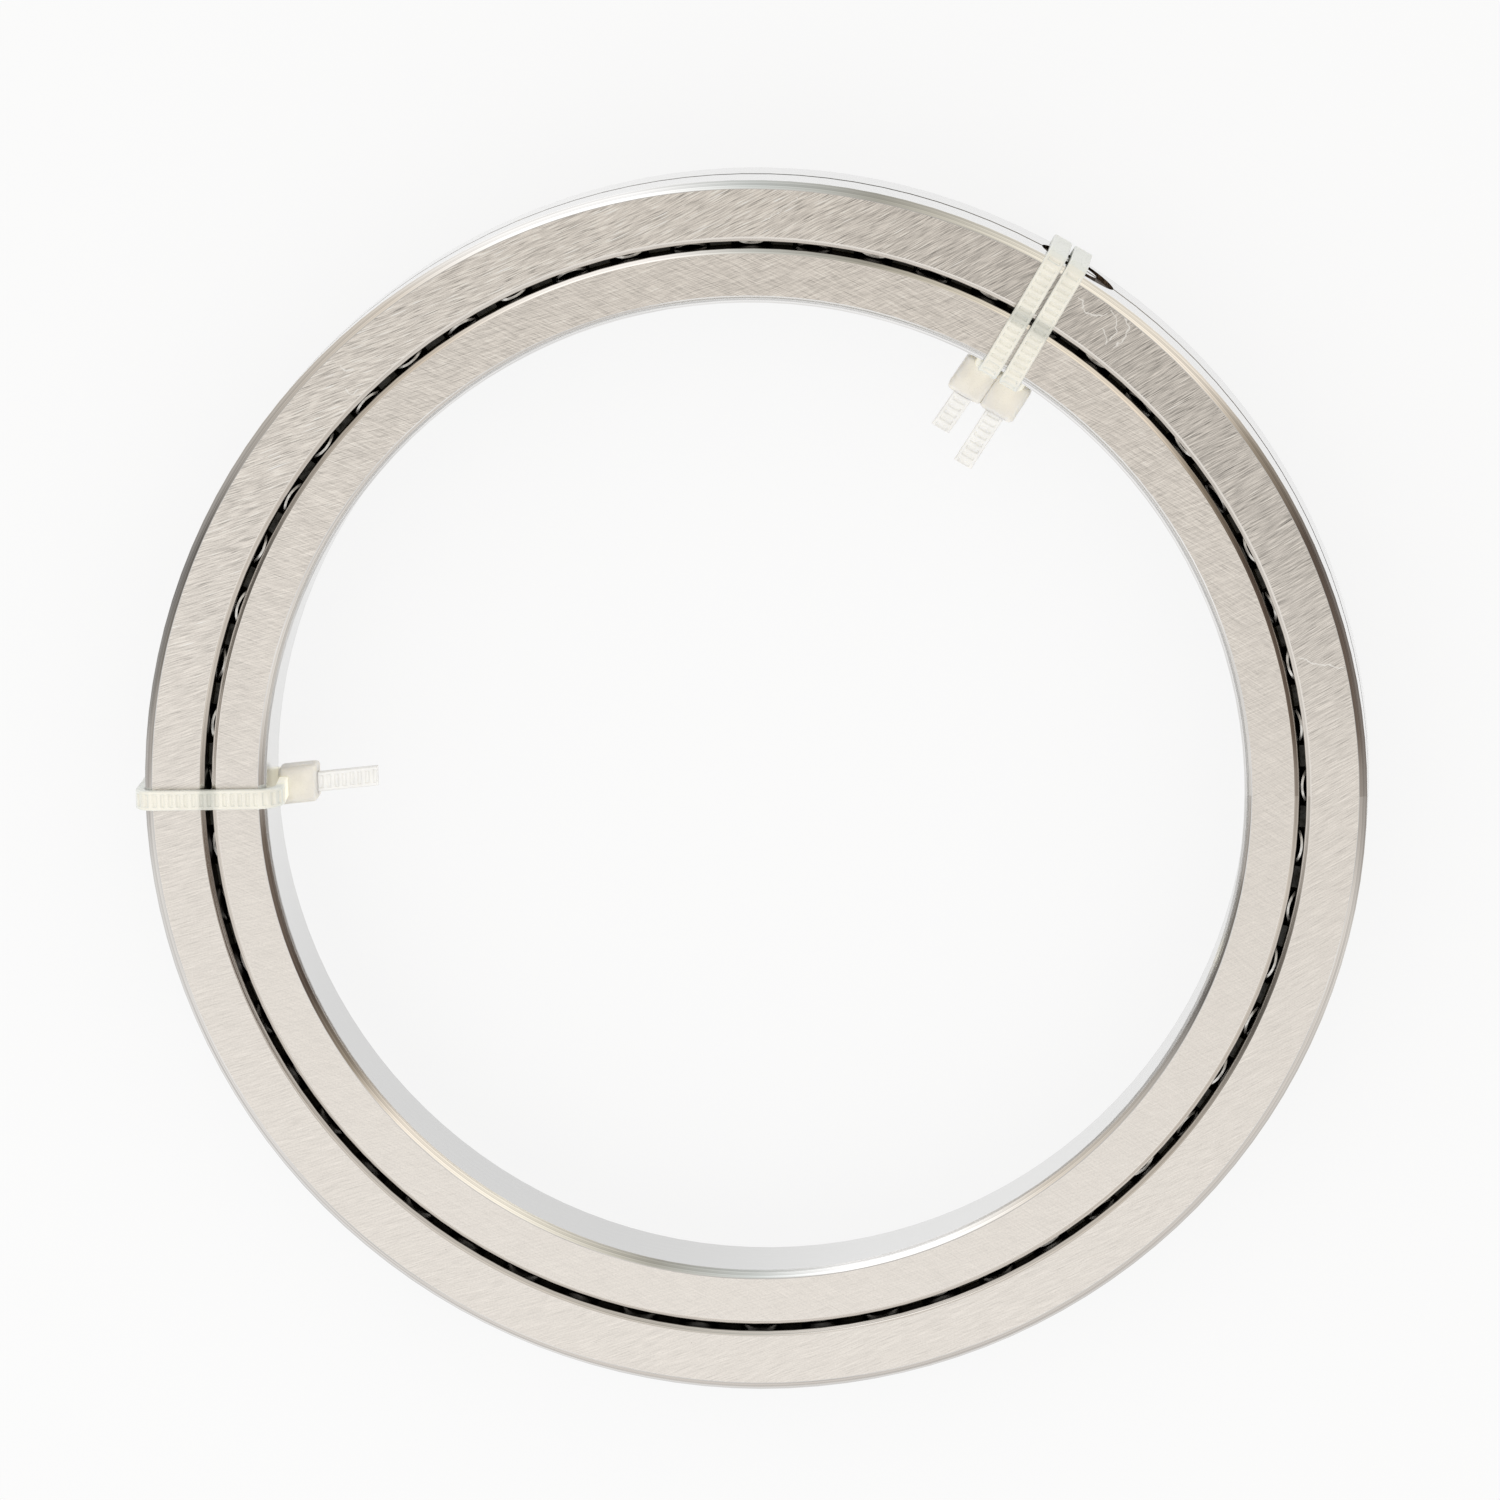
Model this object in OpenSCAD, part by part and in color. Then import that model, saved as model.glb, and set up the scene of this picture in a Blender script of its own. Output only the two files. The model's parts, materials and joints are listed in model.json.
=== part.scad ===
// Crossed roller bearing: a one-piece inner ring, an outer ring split at mid-width, and one row of
// short rollers that lean outward and inward in turn, kept apart by spacers.
// The bearing axis is +Z and the origin is the bearing's centre, at mid-width. Millimetres.

/* [Rings] */
// Diameter of the bore in the inner ring
bore_d = 120; // [110:0.5:140]
// Height of the section, from the bore to the outside
section = 15; // [13.5:0.25:20]
// Width of both rings
width = 16; // [14:0.5:24]
// Chamfer on the corners of the outside diameter and the bore
corner_chamfer = 1; // [0.4:0.1:1.5]
// Radial gap between the inner and outer rings
ring_gap = 0.9; // [0.6:0.05:1.8]
// Small chamfer on the edges of that gap
gap_chamfer = 0.6; // [0.1:0.05:0.8]
// Chamfer on each half of the outer ring where the split meets the outside
split_chamfer = 0.4; // [0.1:0.05:0.8]

/* [Raceways] */
// How far the circle through the roller centres lies inside the middle of the section
pitch_inset = 0.35; // [0:0.05:0.8]
// Clearance between a roller and each raceway face
raceway_clearance = 0.1; // [0.05:0.01:0.2]
// Width of the relief groove along the bottom of each V
relief_w = 1; // [0.4:0.1:2]
// Depth of the relief groove below the point of the V
relief_depth = 0.2; // [0.1:0.05:0.4]

/* [Rollers] */
// Number of rollers, an even number because they lean in turn
roller_count = 56; // [36:2:56]
// Roller diameter
roller_d = 6; // [5:0.1:6.4]
// How much shorter than its diameter each roller is
roller_short = 0.5; // [0.2:0.05:1]
// Chamfer round both ends of a roller
roller_chamfer = 0.2; // [0.1:0.05:0.8]
// Angle of the first roller, counterclockwise from +X
first_roller_deg = 0.5; // [0:0.1:6]

/* [Spacers] */
// Clearance between a spacer and the raceway faces
spacer_clearance = 0.25; // [0.1:0.05:0.5]
// Clearance between a spacer's hollow and its roller
hollow_clearance = 0.1; // [0.05:0.01:0.2]
// How far a spacer's hollow reaches round its roller
hollow_depth = 0.65; // [0.2:0.05:1.2]
// Chamfer on the long corners of a spacer
spacer_chamfer = 0.5; // [0.2:0.1:1]

/* [Clamp rings] */
// Number of clamp rings that join the outer halves
clamp_count = 2; // [2:1:6]
// Angle of the first clamp ring, counterclockwise from +X
first_clamp_deg = 58.5; // [0:0.5:90]
// Diameter of the split boss inside each clamp ring
clamp_boss_d = 5.2; // [3:0.1:6.5]
// Outside diameter of the round groove
clamp_groove_d = 10.2; // [8.5:0.1:11]
// Depth of the round groove below the outside diameter
clamp_groove_depth = 1.8; // [1:0.1:2]
// Thickness of a clamp ring
clamp_ring_t = 1.2; // [0.6:0.1:1.5]
// Clearance round a clamp ring
clamp_clearance = 0.05; // [0.02:0.01:0.1]

/* [Oil holes] */
// Number of oil holes on the split
oil_hole_count = 2; // [1:1:6]
// Oil hole diameter
oil_hole_d = 1.2; // [0.8:0.1:2]
// Angle of the first oil hole, counterclockwise from +X
first_oil_hole_deg = 113; // [90:0.5:150]

/* [Hidden] */
$fn = 96;
lean = 45;
overlap = 1;

bore_r = bore_d / 2;
outer_r = bore_r + section;
half_w = width / 2;
pitch_r = bore_r + section / 2 - pitch_inset;
inner_land_r = pitch_r - ring_gap / 2;
outer_land_r = pitch_r + ring_gap / 2;

// The two V raceways face each other and form a square channel that stands on its corner
channel = roller_d + 2 * raceway_clearance;
channel_corner = channel / sqrt(2);
inner_v_r = pitch_r - channel_corner;
outer_v_r = pitch_r + channel_corner;
v_half_w = channel_corner - ring_gap / 2;
relief_half = relief_w / 2;

roller_r = roller_d / 2;
roller_len = roller_d - roller_short;
roller_step = 360 / roller_count;

// A spacer fills the space between two rollers and reaches a little way round both
spacer_side = channel - 2 * spacer_clearance;
spacer_web = 2 * pitch_r * sin(roller_step / 2) - roller_d - 2 * hollow_clearance;
spacer_len = spacer_web + 2 * hollow_depth;

clamp_floor_r = outer_r - clamp_groove_depth;

function roller_angle(k) = first_roller_deg + k * roller_step;
function roller_lean(k) = k % 2 == 0 ? lean : -lean;
function roller_name(k) = str("roller_", k < 9 ? "0" : "", k + 1);

// Places children at an angle on the pitch circle, with +Z turned to the roller's own axis
module on_pitch(angle, tilt) {
    rotate([0, 0, angle]) translate([pitch_r, 0, 0]) rotate([0, tilt, 0]) children();
}

// Turns children that point along +Z so that they point outward, at equal angles round the split
module round_split(count, first_deg) {
    for (k = [0 : count - 1])
        rotate([0, 0, first_deg + k * 360 / count]) rotate([0, 90, 0]) children();
}

// Half section of the outer ring in front of the split, with one face of the V and half its relief
module outer_half_section() {
    polygon([
        [outer_r - split_chamfer, 0],
        [outer_r, split_chamfer],
        [outer_r, half_w - corner_chamfer],
        [outer_r - corner_chamfer, half_w],
        [outer_land_r + gap_chamfer, half_w],
        [outer_land_r, half_w - gap_chamfer],
        [outer_land_r, v_half_w],
        [outer_v_r - relief_half, relief_half],
        [outer_v_r + relief_depth, relief_half],
        [outer_v_r + relief_depth, 0],
    ]);
}

// Round groove for a clamp ring, round a boss that is left standing
module clamp_groove() {
    translate([0, 0, clamp_floor_r]) difference() {
        cylinder(d = clamp_groove_d, h = clamp_groove_depth + overlap);
        translate([0, 0, -overlap]) cylinder(d = clamp_boss_d, h = clamp_groove_depth + 3 * overlap);
    }
}

// Clamp ring, seated on the floor of its groove
module clamp_ring() {
    translate([0, 0, clamp_floor_r + clamp_clearance]) difference() {
        cylinder(d = clamp_groove_d - 2 * clamp_clearance, h = clamp_ring_t);
        translate([0, 0, -overlap])
            cylinder(d = clamp_boss_d + 2 * clamp_clearance, h = clamp_ring_t + 2 * overlap);
    }
}

module outer_half() {
    difference() {
        rotate_extrude() outer_half_section();
        round_split(clamp_count, first_clamp_deg) clamp_groove();
        round_split(oil_hole_count, first_oil_hole_deg)
            translate([0, 0, pitch_r]) cylinder(d = oil_hole_d, h = outer_r - pitch_r + overlap);
    }
}

module outer_ring_front() {
    color("#cdc6bd") outer_half();
}

// The rear half carries the clamp rings
module outer_ring_rear() {
    color("#cdc6bd") mirror([0, 0, 1]) outer_half();
    color("#4a3c32") round_split(clamp_count, first_clamp_deg) clamp_ring();
}

module inner_ring() {
    color("#d3cdc5") rotate_extrude() polygon([
        [bore_r, -half_w + corner_chamfer],
        [bore_r + corner_chamfer, -half_w],
        [inner_land_r - gap_chamfer, -half_w],
        [inner_land_r, -half_w + gap_chamfer],
        [inner_land_r, -v_half_w],
        [inner_v_r + relief_half, -relief_half],
        [inner_v_r - relief_depth, -relief_half],
        [inner_v_r - relief_depth, relief_half],
        [inner_v_r + relief_half, relief_half],
        [inner_land_r, v_half_w],
        [inner_land_r, half_w - gap_chamfer],
        [inner_land_r - gap_chamfer, half_w],
        [bore_r + corner_chamfer, half_w],
        [bore_r, half_w - corner_chamfer],
    ]);
}

module roller(k) {
    half_len = roller_len / 2;
    end_r = roller_r - roller_chamfer;
    color("#e4e2dd") on_pitch(roller_angle(k), roller_lean(k)) rotate_extrude() polygon([
        [0, -half_len],
        [end_r, -half_len],
        [roller_r, roller_chamfer - half_len],
        [roller_r, half_len - roller_chamfer],
        [end_r, half_len],
        [0, half_len],
    ]);
}

// Square section of a spacer with its corners cut
module spacer_section() {
    half = spacer_side / 2;
    flat = half - spacer_chamfer;
    polygon([
        [-flat, -half], [flat, -half],
        [half, -flat], [half, flat],
        [flat, half], [-flat, half],
        [-half, flat], [-half, -flat],
    ]);
}

// Spacer between roller k and the next one, with a hollow for each
module spacer(k) {
    difference() {
        on_pitch(roller_angle(k + 0.5), lean) rotate([90, 0, 0])
            linear_extrude(spacer_len, center = true) spacer_section();
        for (side = [k, k + 1])
            on_pitch(roller_angle(side), roller_lean(side))
                cylinder(r = roller_r + hollow_clearance, h = 2 * channel, center = true);
    }
}

module spacers() {
    color("#4b4426") for (k = [0 : roller_count - 1]) spacer(k);
}

inner_ring();
outer_ring_front();
outer_ring_rear();
spacers();
for (k = [0 : roller_count - 1])
    roller(k);
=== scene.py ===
"""Looks of a crossed roller bearing: ground rings, oiled rollers and spacers, and nylon transit ties."""

import json
import math
from functools import reduce

import bmesh
import bpy
from bpy.props import FloatProperty, FloatVectorProperty, PointerProperty
from mathutils import Matrix, Vector


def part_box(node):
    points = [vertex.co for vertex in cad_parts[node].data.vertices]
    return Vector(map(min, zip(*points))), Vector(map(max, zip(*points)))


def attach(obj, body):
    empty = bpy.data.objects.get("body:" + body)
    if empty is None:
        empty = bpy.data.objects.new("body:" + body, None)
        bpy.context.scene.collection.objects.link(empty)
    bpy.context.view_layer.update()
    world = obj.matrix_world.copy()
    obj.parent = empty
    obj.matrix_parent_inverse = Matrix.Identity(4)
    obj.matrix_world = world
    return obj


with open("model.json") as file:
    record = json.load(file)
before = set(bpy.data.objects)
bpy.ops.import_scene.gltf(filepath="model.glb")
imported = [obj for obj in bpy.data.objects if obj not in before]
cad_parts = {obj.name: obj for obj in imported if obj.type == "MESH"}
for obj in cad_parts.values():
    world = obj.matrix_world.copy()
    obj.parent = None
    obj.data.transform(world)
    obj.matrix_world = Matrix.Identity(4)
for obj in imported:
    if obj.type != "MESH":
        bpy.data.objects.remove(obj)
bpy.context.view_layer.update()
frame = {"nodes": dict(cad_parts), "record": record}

bl_info = {
    "name": "Crossed roller bearing",
    "version": (1, 0, 0),
    "blender": (4, 5, 0),
    "location": "3D View > Sidebar > Bearing",
    "description": "Finishes the pieces of a crossed roller bearing and adds its transit ties",
    "category": "Object",
}

MM = 0.001
PER_MM = 1000.0

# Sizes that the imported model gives
NODES = frame["nodes"]
MOUNTS = {mount["name"]: mount for mount in frame["record"]["mounts"]}
BORE_R = MOUNTS["bore"]["dims"]["r_mm"] * MM
OUTER_R = MOUNTS["outside_diameter"]["dims"]["r_mm"] * MM
HALF_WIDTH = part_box("inner_ring")[1].z
INNER_LAND_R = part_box("inner_ring")[1].x
ROLLERS = sorted(name for name in NODES if name.startswith("roller_"))
OUTER_HALVES = ("outer_ring_front", "outer_ring_rear")


def length(name, description, default):
    """A size in metres."""
    return FloatProperty(name=name, description=description, default=default, unit="LENGTH", precision=5)


def angle(name, description, degrees):
    """An angle, given here in degrees."""
    return FloatProperty(name=name, description=description, default=math.radians(degrees), subtype="ANGLE")


def share(name, description, default):
    """A number from 0 to 1."""
    return FloatProperty(name=name, description=description, default=default, min=0, max=1, subtype="FACTOR")


def colour(name, description, default):
    """A colour in linear light."""
    return FloatVectorProperty(name=name, description=description, default=default, min=0, max=1,
                               subtype="COLOR")


def place(name, description, default):
    """A point or a direction in the bearing's frame."""
    return FloatVectorProperty(name=name, description=description, default=default, precision=4,
                               subtype="XYZ")


class RingFinish(bpy.types.PropertyGroup):
    """Colours and machining marks of the three rings."""

    face_colour: colour("Ground face", "Steel of the flat faces", (0.80, 0.752, 0.695))
    wall_colour: colour("Outside diameter", "Steel of the outside diameter", (0.95, 0.95, 0.95))
    bore_colour: colour("Bore", "Steel of the bore", (0.785, 0.785, 0.78))
    edge_colour: colour("Outer chamfers", "Steel of the chamfers of the outside diameter", (0.88, 0.87, 0.86))
    bore_edge_colour: colour("Bore chamfers", "Steel of the chamfers of the bore", (0.95, 0.94, 0.93))
    gap_edge_colour: colour("Gap chamfers", "Thinly oiled steel of its chamfers", (0.84, 0.80, 0.755))
    split_colour: colour("Split", "Dark line where the halves of the outer ring meet", (0.20, 0.19, 0.18))
    # Oil and painted shade: near-black steel where the channel lies deep between the rings
    oil_and_shade_colour: colour("Oil and shade in the channel", "Oiled steel with painted shade in the gap and the channel", (0.040, 0.027, 0.013))
    clamp_colour: colour("Clamp rings", "Dark clamp rings and their grooves", (0.060, 0.040, 0.026))
    scratch_colour: colour("Scratches", "Bright metal in a scratch", (0.97, 0.95, 0.91))
    speck_colour: colour("Specks", "Dark specks in the surface", (0.16, 0.13, 0.11))
    face_roughness: share("Face roughness", "Roughness of the ground faces", 0.30)
    wall_roughness: share("Wall roughness", "Roughness of the bore and the outside diameter", 0.22)
    edge_roughness: share("Chamfer roughness", "Roughness of the turned chamfers", 0.09)
    grind_angle: angle("Grinding direction", "Lay of the grinding lines on the outer ring", 24)
    cross_angle: angle("Crossing direction", "Lay of the second set of lines on the inner ring", -28)
    inner_angle: angle("Inner lay", "Lay of the first set of lines on the inner ring", 19)
    grind_arc: length("Grinding arc", "Radius of the slight curve in the grinding lines", 600 * MM)
    line_depth: length("Line depth", "Depth of the grinding lines", 0.030 * MM)
    line_tone: share("Line tone", "How far the lines differ in tone where they are strongest", 1.0)
    # Painted shade: the outer ring's face is darker toward this side, and the tone of its lines is stronger
    # there
    painted_side_shade_way: angle("Side shade", "Direction of the side of the outer ring with painted shade and stronger lines", 45)
    painted_side_shade: share("Painted side shade", "How much darker the steel is there", 0.185)
    # Painted shade: the outside diameter is darker toward this side
    painted_outside_shade_way: angle("Outside shade", "Direction of the painted shade on the outside diameter", 60)
    painted_outside_shade: share("Outside shade depth", "How much darker the outside diameter is there", 0.09)
    # Painted shade: the bore is darker toward this side
    painted_bore_shade_way: angle("Bore shade", "Direction of the painted shade on the bore", 232)
    painted_bore_shade: share("Bore shade depth", "How much darker the bore is there", 0.19)
    turning_depth: length("Turning depth", "Depth of the turning lines on the chamfers", 0.005 * MM)
    corner_chamfer: length("Corner chamfer", "Chamfer on the outside diameter and the bore", 1.0 * MM)
    gap_chamfer: length("Gap chamfer", "Chamfer on the edges of the gap", 0.6 * MM)
    ring_gap: length("Ring gap", "Gap between the rings", 0.9 * MM)
    split_half: length("Split chamfer", "Chamfer of each half at the split", 0.4 * MM)
    crown: angle("Chamfer crown", "How far the edges of a chamfer roll away from its middle", 6)
    gap_lean: angle("Gap chamfer lean", "How much flatter than 45 degrees the edges of the gap are broken", 9)
    clamp_angle: angle("Clamp angle", "Place of the first clamp ring, the second being opposite", 58.5)
    clamp_boss_r: length("Clamp boss radius", "Radius of the boss in a clamp ring", 2.6 * MM)
    clamp_groove_r: length("Clamp groove radius", "Radius of the groove of a clamp ring", 5.1 * MM)


class RollerFinish(bpy.types.PropertyGroup):
    """Colours of what runs in the channel."""

    roller_colour: colour("Rollers", "Polished roller steel", (0.80, 0.78, 0.74))
    spacer_colour: colour("Spacers", "Moulded resin of the spacers", (0.030, 0.024, 0.008))
    film_colour: colour("Oil film", "Brown oil on the rollers", (0.10, 0.075, 0.04))


class TieSizes(bpy.types.PropertyGroup):
    """Sizes and colours of the nylon transit ties."""

    strap_width: length("Strap width", "Width of the strap", 2.43 * MM)
    strap_thickness: length("Strap thickness", "Thickness of the strap at its rails", 1.1 * MM)
    rail_width: length("Rail width", "Width of the plain rail along each edge", 0.42 * MM)
    rung_pitch: length("Rung pitch", "Distance from one rung to the next", 0.955 * MM)
    rung_depth: length("Rung depth", "Depth of the hollow between two rungs", 0.15 * MM)
    clearance: length("Clearance", "Clearance between the strap and the rings", 0.1 * MM)
    bend_r: length("Bend radius", "Radius of the strap's middle where it turns a corner", 2.1 * MM)
    bend_more: FloatProperty(name="Looser bend", description="Growth of the bend radius with a strap's slack",
                             default=0.9)
    head_bend_r: length("Bend at the head", "Radius of the strap's middle at the head", 1.1 * MM)
    head_width: length("Head width", "Width of the head across the strap", 4.65 * MM)
    head_length: length("Head length", "Length of the head from the bore inward", 4.9 * MM)
    head_height: length("Head height", "Height of the head along the bearing axis", 4.2 * MM)
    head_gap: length("Head gap", "Distance from the bore to the head", 0.9 * MM)
    head_round: length("Head rounding", "Radius of the head's edges", 0.6 * MM)
    slot_height: length("Slot level", "Height of the slot above the middle of the head", 0.9 * MM)
    strap_clear: share("Strap clearness", "Share of the light that goes straight through the strap", 0.03)
    strap_milky: share("Strap milkiness", "Share of the light that spreads inside the thin strap", 0.15)
    head_milky: share("Head milkiness", "Share of the light that spreads inside the thick head", 0.8)
    nylon_colour: colour("Nylon", "Natural nylon", (0.765, 0.743, 0.663))
    # Painted shade: a cooler, darker tone where the strap's surface turns down
    painted_turn_shade_colour: colour("Nylon sides", "Painted shade where the nylon turns down", (0.72, 0.745, 0.71))
    head_colour: colour("Head nylon", "Natural nylon where it is thick", (0.723, 0.70, 0.655))
    tail_colour: colour("Tail nylon", "Natural nylon of the tail", (0.79, 0.785, 0.765))
    # Painted shade: the dark gap as it shows through the strap
    painted_gap_shade: colour("Gap through nylon", "Painted shade of the gap seen through the strap", (0.36, 0.38, 0.35))
    # Painted light: the strap glows in the bore, fading toward the front face
    painted_bore_glow: colour("Glow in the bore", "Painted light standing in for what the strap gets from the floor", (0.36, 0.33, 0.26))


class StageSetup(bpy.types.PropertyGroup):
    """Camera, floor and light."""

    camera_place: place("Camera", "Where the camera stands", (0.0951, 0.2378, 1.4539))
    camera_look: place("Look", "Direction in which the camera looks", (-0.0651, -0.1586, -0.9852))
    camera_up: place("Up", "Direction that is up in the picture", (-0.0105, 0.9873, -0.1582))
    camera_lens: FloatProperty(name="Lens", description="Focal length", default=288, unit="CAMERA")
    floor_size: length("Floor size", "Side of the floor", 6)
    floor_colour: colour("Floor", "Pale floor", (0.94, 0.94, 0.94))
    floor_glow: share("Floor glow", "Share of the floor's tone that no shadow reaches", 0.88)
    floor_near: length("Near floor", "Radius in which the steel mirrors the floor as it is", 0.115)
    floor_far: length("Far floor", "Radius from which the steel mirrors the studio instead", 0.145)
    softbox_height: length("Softbox height", "Height of the softbox above the bearing", 0.22)
    softbox_size: length("Softbox size", "Side of the softbox", 0.64)
    softbox_turn: angle("Softbox turn", "Direction in which the softbox grows brighter", 258)
    softbox_dim: colour("Softbox low end", "Light at its dim side", (0.67, 0.645, 0.61))
    softbox_bright: colour("Softbox high end", "Light at its bright side", (0.985, 0.985, 0.985))
    softbox_start: length("Softbox start", "Where the softbox begins to grow brighter", -0.094)
    softbox_end: length("Softbox end", "Where the softbox reaches its full light", 0.098)
    fill_size: length("Fill size", "Side of the fill light", 1.6)
    fill_height: length("Fill height", "Height of the fill light above the bearing", 0.21)
    fill_power: FloatProperty(name="Fill light", description="Power of the lamp that steel doesn't mirror",
                              default=3.9, unit="POWER")
    sky_colour: colour("Room", "Light of the room above the horizon", (0.86, 0.85, 0.83))


# What stands round the studio and shows in the chamfers: direction in degrees from +X, and its tone
HORIZON = (
    (-174, (0.36, 0.33, 0.30)),
    (-167, (0.74, 0.72, 0.69)),
    (-138, (0.70, 0.675, 0.65)),
    (-105, (0.61, 0.56, 0.51)),
    (-75, (0.56, 0.52, 0.48)),
    (-20, (0.73, 0.69, 0.64)),
    (-3, (0.16, 0.125, 0.10)),
    (18, (0.10, 0.075, 0.06)),
    (30, (0.32, 0.27, 0.21)),
    (40, (0.98, 0.89, 0.77)),
    (58, (1.0, 0.94, 0.81)),
    (80, (0.41, 0.40, 0.35)),
    (94, (0.66, 0.69, 0.67)),
    (106, (1.25, 1.25, 1.25)),
    (121, (1.25, 1.24, 1.22)),
    (135, (0.76, 0.69, 0.60)),
    (157, (0.38, 0.355, 0.325)),
    (166, (0.13, 0.12, 0.11)),
    (180, (0.22, 0.20, 0.175)),
)


def heading(turn):
    """The level direction at an angle from +X."""
    return Vector((math.cos(turn), math.sin(turn), 0.0))


class Graph:
    """Adds nodes to one node tree and joins them."""

    def __init__(self, tree):
        self.tree = tree

    def node(self, kind, inputs=None, **settings):
        made = self.tree.nodes.new("ShaderNode" + kind)
        for name, value in settings.items():
            setattr(made, name, value)
        return self.fill(made, inputs or {})

    def fill(self, made, inputs):
        """Joins or sets a node's inputs by name or number."""
        for name, value in inputs.items():
            self.feed(made.inputs[name], value)
        return made

    def feed(self, socket, value):
        """Joins an input to another node, or sets it; a colour is given without its alpha."""
        if isinstance(value, bpy.types.NodeSocket):
            self.tree.links.new(value, socket)
        else:
            socket.default_value = (*value, 1.0) if socket.type == "RGBA" else value

    def math(self, operation, *values):
        return self.node("Math", dict(enumerate(values)), operation=operation).outputs[0]

    def times(self, *values):
        return reduce(lambda a, b: self.math("MULTIPLY", a, b), values)

    def plus(self, *values):
        return reduce(lambda a, b: self.math("ADD", a, b), values)

    def minus(self, first, second):
        return self.math("SUBTRACT", first, second)

    def vector(self, operation, *values, result="Vector"):
        return self.node("VectorMath", dict(enumerate(values)), operation=operation).outputs[result]

    def measure(self, operation, *values):
        return self.vector(operation, *values, result="Value")

    def scaled(self, vector, factor):
        made = self.node("VectorMath", {0: vector, "Scale": factor}, operation="SCALE")
        return made.outputs["Vector"]

    def flat(self, vector):
        """The part of a vector that lies square to the bearing's axis."""
        return self.vector("MULTIPLY", vector, (1.0, 1.0, 0.0))

    def turned(self, vector, turn):
        """A vector turned about the bearing's axis."""
        made = self.node("VectorRotate", {"Vector": vector, "Angle": turn}, rotation_type="Z_AXIS")
        return made.outputs["Vector"]

    def split(self, vector):
        return self.node("SeparateXYZ", {"Vector": vector}).outputs

    def join(self, x=0.0, y=0.0, z=0.0):
        return self.node("CombineXYZ", {"X": x, "Y": y, "Z": z}).outputs["Vector"]

    def here(self):
        return self.node("TexCoord").outputs["Object"]

    def position(self):
        """The point on the piece, in millimetres of the bearing's frame."""
        return self.scaled(self.here(), PER_MM)

    def rise(self):
        """How far the surface faces up: 1 where it is level, 0 where it is upright."""
        return self.split(self.node("NewGeometry").outputs["Normal"])["Z"]

    def ramp(self, value, low, high, start=0.0, end=1.0):
        inputs = {"Value": value, "From Min": low, "From Max": high, "To Min": start, "To Max": end}
        return self.node("MapRange", inputs, interpolation_type="SMOOTHSTEP").outputs["Result"]

    def mix(self, factor, first, second, blend="MIX"):
        inputs = {0: factor, 6: first, 7: second}
        return self.node("Mix", inputs, data_type="RGBA", blend_type=blend).outputs[2]

    def tint(self, tone, shade):
        """A colour made darker or lighter."""
        return self.mix(1.0, tone, shade, "MULTIPLY")

    def blend(self, factor, first, second):
        return self.node("Mix", {0: factor, 2: first, 3: second}, data_type="FLOAT").outputs[0]

    def noise(self, vector, scale, detail=2.0, roughness=0.5):
        inputs = {"Vector": vector, "Scale": scale, "Detail": detail, "Roughness": roughness}
        return self.node("TexNoise", inputs).outputs["Fac"]

    def bump(self, height, distance, strength=1.0):
        inputs = {"Strength": strength, "Distance": distance, "Height": height}
        return self.node("Bump", inputs).outputs["Normal"]

    def group(self, name, **inputs):
        made = self.node("Group", node_tree=bpy.data.node_groups[name])
        return self.fill(made, {key.replace("_", " "): value for key, value in inputs.items()}).outputs


# Kinds of group socket that aren't plain values
SOCKETS = dict.fromkeys(("Position", "Centre", "Facing", "Direction"), "NodeSocketVector")
SOCKETS["Tone"] = "NodeSocketColor"


def new_group(name, inputs, outputs):
    """An empty shader node group with named sockets: its graph, its inputs and its output node."""
    tree = bpy.data.node_groups.new(name, "ShaderNodeTree")
    for in_out, keys in (("INPUT", inputs), ("OUTPUT", outputs)):
        for key in keys:
            kind = SOCKETS.get(key, "NodeSocketFloat")
            tree.interface.new_socket(name=key, in_out=in_out, socket_type=kind)
    given = tree.nodes.new("NodeGroupInput").outputs
    return Graph(tree), given, tree.nodes.new("NodeGroupOutput")


# Bounds of a ring's zones: how far up the normal of a face and of a wall points; then, in millimetres, where
# the channel of oil and painted shade starts from the bore and from the outside, the depths below a face at
# which its oil and painted shade begin and are full, and the longest leg of a gap chamfer
FACE_RISE = (0.90, 0.98)
WALL_RISE = (0.20, 0.45)
CHANNEL_FROM_BORE = 1.5
CHANNEL_FROM_OUTSIDE = 2.8
OIL_AND_SHADE_DEPTH = (0.50, 0.64)
LONGEST_GAP_LEG = 0.8

# Shape of the chamfers: the share of the crown that those of the corners have, and where across a chamfer and
# how fast its edge at the face rolls over
CORNER_CROWN = 0.35
ROLL_START = -0.78
ROLL_RATE = 0.75


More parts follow.
